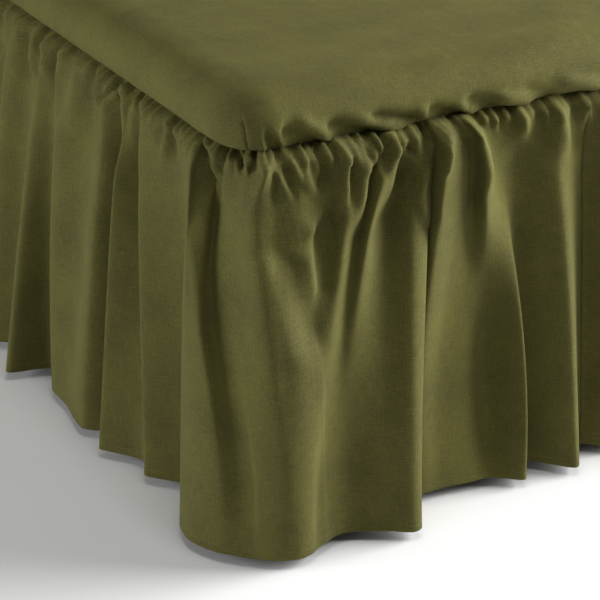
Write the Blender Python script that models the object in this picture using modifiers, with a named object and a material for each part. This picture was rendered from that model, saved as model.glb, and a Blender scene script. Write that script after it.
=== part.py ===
"""A gathered bedspread on a single bed.

The bed is plain: a padded base that stands on the floor, and a thin topper on it.
The bedspread is two cloths that a maker would cut and sew: a fitted top that wraps
the topper and tucks in under its edge, and a long skirt that is gathered on to the
top's lower edge along both long sides and the foot of the bed. The skirt is open at
the head. Its folds fan out towards the hem, widest at the two foot corners.

Metres, +Z up. The origin is the middle of the base's underside, at floor level. The
foot of the bed is at -Y and its head at +Y.
"""

import math
import random

import bmesh
import bpy
from mathutils import Matrix, Vector

# --- Driving dimensions ----------------------------------------------------------
BED_WIDTH = 0.900  # topper, across X
BED_LENGTH = 2.000  # topper, along Y
BASE_TOP = 0.4652  # the base's upper face
TOPPER_THICKNESS = 0.055
TOPPER_CORNER = 0.0545  # radius in plan
TOPPER_UPPER_ROUND = 0.025
TOPPER_LOWER_ROUND = 0.012
CLOTH = 0.002  # thickness of both cloths
CLEARANCE = 0.002  # between a cloth and the edge that it passes over
TOUCH_GAP = 0.0003  # between pieces that rest on each other
DROP = 0.450  # skirt, from the gathered seam to the hem
BASE_SETBACK = 0.0095  # base's side behind the seam line

# --- The seam line that joins the two cloths ------------------------------------------
SEAM_INSET = 0.0045  # inside the topper's side
SEAM_HALF_WIDTH = BED_WIDTH / 2 - SEAM_INSET
SEAM_HALF_LENGTH = BED_LENGTH / 2 - SEAM_INSET
SEAM_CORNER = TOPPER_CORNER - SEAM_INSET
FOOT_RUN = 2 * SEAM_HALF_WIDTH
SIDE_RUN = 2 * SEAM_HALF_LENGTH - SEAM_CORNER
SKIRT_TOP = 0.463
MM = 0.001

# --- The skirt's folds round the foot corner at -X, -Y ----------------------------
# One row for each crest and each valley, in order along the seam, in millimetres.
# Places run from the corner: minus along the long side, plus along the foot.
# "out" is how far the fold stands out from the seam line. The shoulder is the level
# SHOULDER of the way down, where the fullness of the gathers has opened out.
SHOULDER = 0.3
FOLD_COLUMNS = ("seam_at", "shoulder_at", "hem_at", "shoulder_out", "hem_out")
CORNER_FOLDS = (
    (-312, -276, -268, 8, 36),
    (-276, -240, -230, 48, 80),
    (-240, -210, -174, 10, 44),
    (-204, -181, -138, 42, 56),
    (-142, -108, -76, 10, 20),
    (-80, -46, -26, 52, 92),
    (-46, -28, -12, 36, 110),
    (4, 6, 2, 60, 119),
    (50, 40, 14, 34, 122),
    (96, 72, 26, 52, 130),
    (118, 90, 34, 30, 130),
    (140, 108, 42, 54, 124),
    (160, 124, 78, 22, 95),
    (182, 144, 104, 48, 102),
    (205, 182, 128, 10, 118),
    (228, 213, 158, 52, 134),
    (246, 232, 190, 6, 36),
    (264, 254, 230, 46, 56),
    (278, 284, 266, 8, 48),
    (292, 306, 314, 52, 78),
)

# --- How the other folds are spread, in millimetres ---------------------------------
FOLD_SEED = 11
FOLD_PITCH = (34, 58)  # from a crest to the next valley, at the seam
HEM_DRIFT = 16  # how far a fold wanders sideways by the hem
CREST_OUT = {"shoulder": (38, 54), "hem": (66, 104)}
VALLEY_OUT = {"shoulder": (10, 20), "hem": (26, 48)}
FADED_HEM_OUT = (52, 64)  # every third crest and the valley after it die away
FAR_CORNER_WANDER = 5  # the far foot corner's folds differ by up to this much

# --- How finely the skirt is divided -------------------------------------------------
SKIRT_LEVELS = (0.0, 0.04, 0.12, 0.28, 0.50, 0.75, 1.0)  # parts of the drop
FOLD_STEP = 0.016  # between columns at the seam, about
OPENING_POWER = 0.6  # folds open quickly below the seam, then more slowly
GATHER_DEPTH = 0.22  # of the small pleats at the seam, as a share of their width
GATHER_PEAK = 0.05  # level where they are deepest
GATHER_END = 0.25  # level where they have died away

# --- The fitted top -----------------------------------------------------------------
SIDE_PUFF = 0.003  # the slack side swells past the topper by this much
TOP_STEP = 0.075  # between columns on the straight runs
TOP_WRINKLE_STEP = 0.022
TOP_CORNER_STEPS = 7
# Slack wrinkles in the side of the top, along the foot from the corner at -X.
WRINKLE_COLUMNS = ("centre", "half_width", "puff")
TOP_WRINKLES = (
    (62, 26, 5),
    (100, 24, -3),
    (142, 24, 5),
    (205, 30, -3),
    (258, 26, 4),
    (310, 30, -3),
    (360, 28, 3),
)

COLOURS = {  # linear red, green, blue
    "olive_cotton": (0.115, 0.106, 0.034),
    "topper_ticking": (0.72, 0.69, 0.62),
    "base_weave": (0.40, 0.37, 0.32),
}
CLOTH_ROUGHNESS = 0.85


def clear_scene():
    for thing in list(bpy.data.objects):
        bpy.data.objects.remove(thing, do_unlink=True)


def make_material(name):
    material = bpy.data.materials.new(name)
    material.use_nodes = True
    shader = material.node_tree.nodes["Principled BSDF"]
    shader.inputs["Base Color"].default_value = (*COLOURS[name], 1.0)
    shader.inputs["Roughness"].default_value = CLOTH_ROUGHNESS
    shader.inputs["Metallic"].default_value = 0.0
    return material


def finish_mesh(name, shape, material, parent, collection):
    """Makes an object of the bmesh, with its faces pointing out."""
    bmesh.ops.recalc_face_normals(shape, faces=shape.faces)
    mesh = bpy.data.meshes.new(name)
    shape.to_mesh(mesh)
    shape.free()
    mesh.materials.append(material)
    mesh.shade_smooth()
    thing = bpy.data.objects.new(name, mesh)
    thing.parent = parent
    collection.objects.link(thing)
    return thing


# --- The seam line ----------------------------------------------------------------


def corner_point(centre_x, centre_y, angle):
    """A place on one of the seam's round corners, and the way out from it."""
    out = Vector((math.cos(angle), math.sin(angle)))
    return Vector((centre_x, centre_y)) + SEAM_CORNER * out, out


def seam_point(place):
    """The seam's point and outward direction at a place along it, in metres.

    Places run from the sharp corner at -X, -Y: minus up the long side at -X, plus
    along the foot and on up the long side at +X. Each round corner takes the same
    length of seam as the two straight stretches that it cuts off.
    """
    radius = SEAM_CORNER
    centre_y = -SEAM_HALF_LENGTH + radius
    past_foot = place - FOOT_RUN
    if place <= -radius:
        return Vector((-SEAM_HALF_WIDTH, -SEAM_HALF_LENGTH - place)), Vector((-1, 0))
    if place < radius:
        turn = (place + radius) / (2 * radius) * math.pi / 2
        return corner_point(-SEAM_HALF_WIDTH + radius, centre_y, math.pi + turn)
    if past_foot <= -radius:
        return Vector((-SEAM_HALF_WIDTH + place, -SEAM_HALF_LENGTH)), Vector((0, -1))
    if past_foot < radius:
        turn = (past_foot + radius) / (2 * radius) * math.pi / 2
        return corner_point(SEAM_HALF_WIDTH - radius, centre_y, 1.5 * math.pi + turn)
    return Vector((SEAM_HALF_WIDTH, -SEAM_HALF_LENGTH + past_foot)), Vector((1, 0))


# --- The skirt ---------------------------------------------------------------------


def far_corner_folds(chance):
    """The shown corner's folds turned over for the other foot corner, a little apart."""
    rows = []
    for row in reversed(CORNER_FOLDS):
        seam_at, shoulder_at, hem_at, shoulder_out, hem_out = row
        wander = chance.uniform(-FAR_CORNER_WANDER, FAR_CORNER_WANDER)
        foot = FOOT_RUN / MM
        rows.append(
            (
                foot - seam_at,
                foot - shoulder_at,
                foot - hem_at,
                shoulder_out + wander / 2,
                hem_out + wander,
            )
        )
    return rows


def spread_folds(start, end, chance):
    """Crests and valleys from a crest at start up to, but not past, end."""
    lines = max(2, round((end - start) / (sum(FOLD_PITCH) / 2)))
    lines += lines % 2
    steps = [chance.uniform(*FOLD_PITCH) for _ in range(lines)]
    scale = (end - start) / sum(steps)
    rows, place = [], start
    for number, step in enumerate(steps[:-1]):
        place += step * scale
        is_valley = number % 2 == 0
        out = VALLEY_OUT if is_valley else CREST_OUT
        fades = number % 6 in (3, 4)
        drift = chance.uniform(-HEM_DRIFT, HEM_DRIFT)
        rows.append(
            (
                place,
                place + drift / 2,
                place + drift,
                chance.uniform(*out["shoulder"]),
                chance.uniform(*(FADED_HEM_OUT if fades else out["hem"])),
            )
        )
    return rows


def head_edge(place):
    """The plain upright edge where the skirt ends at the head of the bed."""
    return (place, place, place, 16, 34)


def all_folds():
    chance = random.Random(FOLD_SEED)
    near = list(CORNER_FOLDS)
    far = far_corner_folds(chance)
    head = SIDE_RUN / MM
    foot = FOOT_RUN / MM
    near_side = spread_folds(-head, near[0][0], chance)
    middle = spread_folds(near[-1][0], far[0][0], chance)
    far_side = spread_folds(far[-1][0], foot + head, chance)
    rows = [head_edge(-head), *near_side, *near, *middle]
    rows += [*far, *far_side, head_edge(foot + head)]
    return [{key: value * MM for key, value in zip(FOLD_COLUMNS, row)} for row in rows]


def through_three(at_seam, at_shoulder, at_hem, level):
    """A smooth curve down the drop through its values at three levels."""
    part = level**OPENING_POWER
    knee = SHOULDER**OPENING_POWER
    bend = ((at_shoulder - at_seam) / knee - (at_hem - at_seam)) / (knee - 1)
    return at_seam + (at_hem - at_seam - bend) * part + bend * part * part


def fold_at(fold, level):
    place = through_three(fold["seam_at"], fold["shoulder_at"], fold["hem_at"], level)
    out = through_three(0.0, fold["shoulder_out"], fold["hem_out"], level)
    return place, max(out, 0.0)


def skirt_columns(folds):
    """Each column's two neighbouring folds, its share of the way between, its pleat."""
    columns = []
    for one, other in zip(folds, folds[1:]):
        width = other["seam_at"] - one["seam_at"]
        steps = 2 if width < 2 * FOLD_STEP else 3
        for step in range(steps):
            side = 1 if len(columns) % 2 else -1
            columns.append((one, other, step / steps, side * GATHER_DEPTH * width / steps))
    columns.append((folds[-2], folds[-1], 1.0, 0.0))
    return columns


def gather_strength(level):
    """The small pleats start just below the seam and die away."""
    if level >= GATHER_END:
        return 0.0
    rise = min(1.0, level / GATHER_PEAK)
    return rise * (1.0 - max(0.0, level - GATHER_PEAK) / (GATHER_END - GATHER_PEAK))


def skirt_point(column, level):
    one, other, between, pleat = column
    place_one, out_one = fold_at(one, level)
    place_other, out_other = fold_at(other, level)
    place = place_one + (place_other - place_one) * between
    ease = (1 - math.cos(math.pi * between)) / 2
    out = out_one + (out_other - out_one) * ease + pleat * gather_strength(level)
    seam, outward = seam_point(place)
    flat = seam + outward * out
    return Vector((flat.x, flat.y, SKIRT_TOP - DROP * level))


def add_grid(shape, rows, closed=False):
    """Joins rows of points into faces; closed joins each row's end to its start."""
    rings = [[shape.verts.new(point) for point in row] for row in rows]
    count = len(rings[0])
    for upper, lower in zip(rings, rings[1:]):
        for number in range(count if closed else count - 1):
            after = (number + 1) % count
            shape.faces.new((upper[number], lower[number], lower[after], upper[after]))
    return rings


def add_thickness(thing):
    """Gives an open sheet its thickness, half to each side."""
    thick = thing.modifiers.new("cloth_thickness", "SOLIDIFY")
    thick.thickness = CLOTH
    thick.offset = 0.0
    thick.use_even_offset = True
    thick.use_rim = True


def make_skirt(material, parent, collection):
    columns = skirt_columns(all_folds())
    shape = bmesh.new()
    rows = [
        [skirt_point(column, level) for column in columns] for level in SKIRT_LEVELS
    ]
    add_grid(shape, rows)
    skirt = finish_mesh("skirt", shape, material, parent, collection)
    add_thickness(skirt)
    return skirt


# --- The fitted top --------------------------------------------------------------------


def straight_places(start, end, step):
    """Even steps from start up to, but not including, end."""
    count = max(1, math.ceil((end - start) / step))
    return [start + (end - start) * number / count for number in range(count)]


def half_ring_places(wrinkled_to):
    """Places round one end of the bed and up one side, finer as far as the wrinkles go."""
    radius = SEAM_CORNER
    corner = straight_places(-radius, radius, 2 * radius / TOP_CORNER_STEPS)
    side_end = 2 * SEAM_HALF_LENGTH - radius
    places = list(corner)
    places += straight_places(radius, wrinkled_to, TOP_WRINKLE_STEP)
    places += straight_places(wrinkled_to, FOOT_RUN - radius, TOP_STEP)
    places += [FOOT_RUN + place for place in corner]
    places += [FOOT_RUN + place for place in straight_places(radius, side_end, TOP_STEP)]
    return places


def top_puff(place):
    """How far the slack side stands out at a place along the foot."""
    puff = SIDE_PUFF
    for row in TOP_WRINKLES:
        wrinkle = dict(zip(WRINKLE_COLUMNS, (value * MM for value in row)))
        away = abs(place - wrinkle["centre"]) / wrinkle["half_width"]
        if away < 1:
            puff += wrinkle["puff"] * (1 + math.cos(math.pi * away)) / 2
    return max(0.0, puff)


def top_section(puff):
    """The top's section from its seam up and in: how far out, and how high.

    It is the topper's own section pushed out by the clearance and half the cloth, and
    swollen in the middle of its side.
    """
    away = CLEARANCE + CLOTH / 2
    floor = BASE_TOP + TOUCH_GAP
    lower_z = floor + TOPPER_LOWER_ROUND
    upper_z = floor + TOPPER_THICKNESS - TOPPER_UPPER_ROUND
    lower_r = TOPPER_LOWER_ROUND + away
    upper_r = TOPPER_UPPER_ROUND + away
    section = []
    for degrees, swell in ((-60, 0.0), (-30, 0.45), (0, 0.85)):
        angle = math.radians(degrees)
        out = SEAM_INSET - TOPPER_LOWER_ROUND + lower_r * math.cos(angle) + puff * swell
        section.append((out, lower_z + lower_r * math.sin(angle)))
    for degrees, swell in ((0, 1.0), (32, 0.6), (62, 0.2), (90, 0.0)):
        angle = math.radians(degrees)
        out = SEAM_INSET - TOPPER_UPPER_ROUND + upper_r * math.cos(angle) + puff * swell
        section.append((out, upper_z + upper_r * math.sin(angle)))
    return section


def top_columns():
    """Each column's seam point, its way out and its puff, right round the bed."""
    last = TOP_WRINKLES[-1]
    wrinkled_to = (last[0] + last[1]) * MM
    columns = []
    for place in half_ring_places(wrinkled_to):
        seam, outward = seam_point(place)
        columns.append((seam, outward, top_puff(place)))
    # The head half is the foot half turned round, with none of its wrinkles.
    turned = Matrix.Rotation(math.pi, 2)
    for place in half_ring_places(SEAM_CORNER + TOP_STEP):
        seam, outward = seam_point(place)
        columns.append((turned @ seam, turned @ outward, SIDE_PUFF))
    return columns


def make_top_cover(material, parent, collection):
    """Rings from the seam up over the edge, closed by one flat face on top."""
    columns = [(seam, outward, top_section(puff)) for seam, outward, puff in top_columns()]
    rows = []
    for level in range(len(columns[0][2])):
        row = []
        for seam, outward, section in columns:
            out, height = section[level]
            flat = seam + outward * out
            row.append(Vector((flat.x, flat.y, height)))
        rows.append(row)
    shape = bmesh.new()
    rings = add_grid(shape, rows, closed=True)
    shape.faces.new(rings[-1])
    cover = finish_mesh("top_cover", shape, material, parent, collection)
    add_thickness(cover)
    return cover


# --- The bed -------------------------------------------------------------------------


def edges_along(shape, axis):
    """The box's edges that run along one axis."""
    chosen = []
    for edge in shape.edges:
        way = edge.verts[0].co - edge.verts[1].co
        if abs(way[axis]) > 0.99 * way.length:
            chosen.append(edge)
    return chosen


def rim_edges(shape, height):
    """The edges of the box's face at one height."""
    return [
        edge
        for edge in shape.edges
        if all(abs(vert.co.z - height) < 1e-6 for vert in edge.verts)
        and len(edge.link_faces) == 2
    ]


def round_edges(shape, edges, radius, steps):
    bmesh.ops.bevel(
        shape, geom=edges, offset=radius, segments=steps, profile=0.5, affect="EDGES"
    )


def make_block(name, size, bottom, rounds, material, parent, collection):
    """A plain block on end, with its upright, upper and lower edges rounded."""
    shape = bmesh.new()
    bmesh.ops.create_cube(shape, size=1.0, matrix=Matrix.Diagonal((*size, 1.0)))
    round_edges(shape, edges_along(shape, 2), rounds["corner"], 5)
    round_edges(shape, rim_edges(shape, size[2] / 2), rounds["upper"], 3)
    round_edges(shape, rim_edges(shape, -size[2] / 2), rounds["lower"], 3)
    block = finish_mesh(name, shape, material, parent, collection)
    block.location.z = bottom + size[2] / 2
    return block


def make_base(material, parent, collection):
    size = (
        2 * (SEAM_HALF_WIDTH - BASE_SETBACK),
        2 * (SEAM_HALF_LENGTH - BASE_SETBACK),
        BASE_TOP,
    )
    rounds = {"corner": SEAM_CORNER - BASE_SETBACK, "upper": 0.006, "lower": 0.004}
    return make_block("bed_base", size, 0.0, rounds, material, parent, collection)


def make_topper(material, parent, collection):
    size = (BED_WIDTH, BED_LENGTH, TOPPER_THICKNESS)
    rounds = {
        "corner": TOPPER_CORNER,
        "upper": TOPPER_UPPER_ROUND,
        "lower": TOPPER_LOWER_ROUND,
    }
    bottom = BASE_TOP + TOUCH_GAP
    return make_block("topper", size, bottom, rounds, material, parent, collection)


def main():
    clear_scene()
    collection = bpy.data.collections.new("gathered_bedspread_on_bed")
    bpy.context.scene.collection.children.link(collection)
    origin = bpy.data.objects.new("bed_origin", None)
    collection.objects.link(origin)
    materials = {name: make_material(name) for name in COLOURS}
    make_base(materials["base_weave"], origin, collection)
    make_topper(materials["topper_ticking"], origin, collection)
    make_top_cover(materials["olive_cotton"], origin, collection)
    make_skirt(materials["olive_cotton"], origin, collection)


main()
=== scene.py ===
"""The looks of a gathered bedspread on a single bed.

Two cloths of olive cotton dress a plain bed: a fitted top that wraps the topper, and a
skirt in six joined widths that is gathered on to the top's lower edge along both long
sides and the foot. The skirt's large folds come from rows of crests and valleys, and
its gathers from short pleats that run down from the seam and merge.

Metres, +Z up, the frame's own axes: the foot of the bed is at -Y, its head at +Y.
"""

import math
import random

import bpy
import numpy as np
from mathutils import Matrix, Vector


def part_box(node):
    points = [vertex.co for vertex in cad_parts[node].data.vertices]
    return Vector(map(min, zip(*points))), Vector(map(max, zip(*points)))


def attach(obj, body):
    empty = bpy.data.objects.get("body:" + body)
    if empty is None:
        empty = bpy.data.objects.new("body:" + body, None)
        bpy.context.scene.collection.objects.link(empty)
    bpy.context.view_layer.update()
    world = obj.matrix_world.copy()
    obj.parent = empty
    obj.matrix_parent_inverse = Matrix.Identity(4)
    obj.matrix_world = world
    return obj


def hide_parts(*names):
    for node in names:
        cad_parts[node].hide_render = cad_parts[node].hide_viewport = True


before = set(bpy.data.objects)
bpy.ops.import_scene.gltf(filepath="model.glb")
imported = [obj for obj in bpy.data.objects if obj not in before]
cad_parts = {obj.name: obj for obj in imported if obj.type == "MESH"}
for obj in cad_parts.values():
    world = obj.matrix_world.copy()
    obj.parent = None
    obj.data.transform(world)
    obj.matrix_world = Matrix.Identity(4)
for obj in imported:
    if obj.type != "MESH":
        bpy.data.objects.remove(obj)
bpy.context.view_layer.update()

MM = 0.001
CLOTH_MAP = "cloth"  # the UV map that holds each point's place on the flat cloth

# --- The bed, from the frame ----------------------------------------------------------
topper_low, topper_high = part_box("topper")
skirt_low, skirt_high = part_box("skirt")
TOPPER_CORNER = 0.0545  # radius in plan
TOPPER_UPPER_ROUND = 0.025
TOPPER_LOWER_ROUND = 0.012
SEAM_INSET = 0.0045  # the seam runs this far inside the topper's side
SEAM_HALF_WIDTH = topper_high[0] - SEAM_INSET
SEAM_HALF_LENGTH = topper_high[1] - SEAM_INSET
SEAM_CORNER = TOPPER_CORNER - SEAM_INSET
FOOT_RUN = 2 * SEAM_HALF_WIDTH
SIDE_RUN = 2 * SEAM_HALF_LENGTH - SEAM_CORNER
SKIRT_TOP = skirt_high[2]
DROP = skirt_high[2] - skirt_low[2]
CLOTH = 0.0012  # thickness of the cotton, with its nap
CLOTH_AWAY = 0.0055  # from the topper to the middle of the cloth over it

# --- The skirt's folds round the foot corner at -X, -Y --------------------------------
# Levels run down the drop, from 0 at the seam to 1 at the hem.
SHOULDER = 0.3  # the level by which the gathers have opened out into folds
MIDDLE = 0.6
OPENING_POWER = 0.6  # folds open fast below the seam: they follow the level to this power
# One row for each crest and each valley, in millimetres, in order along the seam.
# Places run from the corner: minus along the long side, plus along the foot. "Out" is
# how far the fold stands out from the seam line at that level, and "crease" how sharply
# the cloth turns there, from 0, round, to 1, a fold with straight sides.
SEAM_AT, SHOULDER_AT, MIDDLE_AT, HEM_AT, SHOULDER_OUT, MIDDLE_OUT, HEM_OUT, CREASE = range(8)
CORNER_FOLDS = (
    (-322, -290, -285, -290, 40, 58, 70, 0.3),
    (-300, -264, -256, -255, 5, 22, 40, 0.0),
    (-276, -240, -230, -230, 43, 60, 75, 0.5),
    (-240, -210, -186, -174, 6, 24, 42, 0.0),
    (-204, -181, -157, -138, 36, 48, 56, 0.5),
    (-142, -108, -90, -76, 8, 10, 16, 0.0),
    (-80, -48, -36, -26, 42, 62, 87, 0.4),
    (-72, -42, -21, -14, 44, 79, 105, 0.2),
    (-60, -30, -6, 2, 37, 90, 117, 0.3),
    (-40, -30, 0, 10, 23, 77, 121, 0.0),
    (-24, -13, 9, 15, 27, 83, 123, 0.0),
    (-8, 4, 15, 19, 43, 95, 126, 0.0),
    (30, 20, 27, 26, 70, 115, 131, 0.0),
    (58, 30, 31, 30, 67, 115, 132, 0.0),
    (90, 42, 37, 34, 69, 113, 132, 0.0),
    (108, 63, 46, 40, 56, 105, 125, 0.0),
    (126, 86, 58, 47, 70, 92, 111, 0.1),
    (154, 112, 78, 67, 56, 81, 99, 0.0),
    (180, 119, 94, 87, 67, 81, 98, 0.0),
    (205, 160, 134, 126, 42, 89, 117, 0.0),
    (224, 188, 166, 153, 64, 106, 134, 0.1),
    (232, 210, 183, 166, 56, 97, 129, 0.2),
    (237, 215, 196, 180, 20, 22, 40, 0.0),
    (243, 219, 209, 205, 57, 50, 58, 0.1),
    (262, 262, 246, 236, 38, 36, 57, 0.0),
    (274, 284, 278, 268, 32, 32, 60, 0.0),
    (284, 296, 308, 303, 46, 27, 62, 0.2),
    (300, 333, 342, 337, 32, 62, 86, 0.3),
)

# --- How the other folds are spread, in millimetres -----------------------------------
FOLD_SEED = 11
FOLD_PITCH = (34, 58)  # from a crest to the next valley, at the seam
HEM_DRIFT = 16  # how far a fold wanders sideways by the hem
CREST_OUT = {"shoulder": (38, 54), "hem": (66, 104)}
VALLEY_OUT = {"shoulder": (10, 20), "hem": (26, 48)}
FADED_HEM_OUT = (52, 64)  # every third crest and the valley after it die away
FADE_EVERY = 6  # crests and valleys, counted together
FADING_LINES = (3, 4)  # which of them
SPREAD_CREASE = 0.25  # of their crests; their valleys are round
HEAD_EDGE_OUT = (16, 34)  # at the shoulder and at the hem
FAR_CORNER_WANDER = 5  # the far foot corner's folds differ by up to this much
WANDER_SHARES = (0.5, 0.75, 1.0)  # of it at the shoulder, the middle and the hem


def through_three(at_seam, at_shoulder, at_hem, level):
    """A smooth curve down the drop through its values at three levels."""
    part = level**OPENING_POWER
    knee = SHOULDER**OPENING_POWER
    bend = ((at_shoulder - at_seam) / knee - (at_hem - at_seam)) / (knee - 1)
    return at_seam + (at_hem - at_seam - bend) * part + bend * part * part


def plain_fold(seam_at, shoulder_at, hem_at, shoulder_out, hem_out, crease):
    """A fold whose middle lies on the smooth curve through its other levels."""
    middle_at = through_three(seam_at, shoulder_at, hem_at, MIDDLE)
    middle_out = through_three(0.0, shoulder_out, hem_out, MIDDLE)
    return (seam_at, shoulder_at, middle_at, hem_at, shoulder_out, middle_out, hem_out, crease)


def far_corner_folds(chance):
    """The near corner's folds turned over for the other foot corner, a little apart."""
    foot = FOOT_RUN / MM
    rows = []
    for row in reversed(CORNER_FOLDS):
        wander = chance.uniform(-FAR_CORNER_WANDER, FAR_CORNER_WANDER)
        places = [foot - place for place in row[:SHOULDER_OUT]]
        outs = [out + share * wander for out, share in zip(row[SHOULDER_OUT:CREASE], WANDER_SHARES)]
        rows.append((*places, *outs, row[CREASE]))
    return rows


def spread_folds(start, end, chance):
    """Crests and valleys from a crest at start up to, but not past, end."""
    lines = max(2, round((end - start) / (sum(FOLD_PITCH) / 2)))
    lines += lines % 2
    steps = [chance.uniform(*FOLD_PITCH) for _ in range(lines)]
    scale = (end - start) / sum(steps)
    rows, place = [], start
    for number, step in enumerate(steps[:-1]):
        place += step * scale
        is_valley = number % 2 == 0
        out = VALLEY_OUT if is_valley else CREST_OUT
        fades = number % FADE_EVERY in FADING_LINES
        drift = chance.uniform(-HEM_DRIFT, HEM_DRIFT)
        shoulder_out = chance.uniform(*out["shoulder"])
        hem_out = chance.uniform(*(FADED_HEM_OUT if fades else out["hem"]))
        crease = 0.0 if is_valley else SPREAD_CREASE
        row = (place, place + drift / 2, place + drift, shoulder_out, hem_out, crease)
        rows.append(plain_fold(*row))
    return rows


def head_edge(place):
    """The plain upright edge where the skirt ends at the head of the bed."""
    return plain_fold(place, place, place, *HEAD_EDGE_OUT, 0.0)


def all_folds():
    """Every fold in order, as an array with a row for each, in metres."""
    chance = random.Random(FOLD_SEED)
    near = list(CORNER_FOLDS)
    far = far_corner_folds(chance)
    head = SIDE_RUN / MM
    foot = FOOT_RUN / MM
    near_side = spread_folds(-head, near[0][SEAM_AT], chance)
    middle = spread_folds(near[-1][SEAM_AT], far[0][SEAM_AT], chance)
    far_side = spread_folds(far[-1][SEAM_AT], foot + head, chance)
    rows = [head_edge(-head), *near_side, *near, *middle]
    rows += [*far, *far_side, head_edge(foot + head)]
    folds = np.array(rows)
    folds[:, :CREASE] *= MM
    return folds


def corner_arc(centre_x, centre_y, angle):
    """Points on one of the seam's round corners, and the ways out from it."""
    out = np.stack([np.cos(angle), np.sin(angle)], axis=-1)
    return np.array([centre_x, centre_y]) + SEAM_CORNER * out, out


def seam_point(place):
    """The seam's points and outward directions at an array of places along it.

    Places run from the sharp corner at -X, -Y: minus up the long side at -X, plus
    along the foot and on up the long side at +X. Each round corner takes the same
    length of seam as the two straight stretches that it cuts off.
    """
    radius = SEAM_CORNER
    centre_y = -SEAM_HALF_LENGTH + radius
    past_foot = place - FOOT_RUN
    wide = np.full_like(place, SEAM_HALF_WIDTH)
    long = np.full_like(place, -SEAM_HALF_LENGTH)
    none = np.zeros_like(place)
    one = np.ones_like(place)
    near_angle = math.pi + (place + radius) / (2 * radius) * math.pi / 2
    far_angle = 1.5 * math.pi + (past_foot + radius) / (2 * radius) * math.pi / 2
    near_point, near_out = corner_arc(-SEAM_HALF_WIDTH + radius, centre_y, near_angle)
    far_point, far_out = corner_arc(SEAM_HALF_WIDTH - radius, centre_y, far_angle)
    stretches = (
        (place <= -radius, np.stack([-wide, long - place], -1), np.stack([-one, none], -1)),
        (place < radius, near_point, near_out),
        (past_foot <= -radius, np.stack([place - wide, long], -1), np.stack([none, -one], -1)),
        (past_foot < radius, far_point, far_out),
        (past_foot >= radius, np.stack([wide, long + past_foot], -1), np.stack([one, none], -1)),
    )
    tests = [test[..., None] for test, _, _ in stretches]
    points = np.select(tests, [point for _, point, _ in stretches])
    outs = np.select(tests, [out for _, _, out in stretches])
    return points, outs


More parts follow.
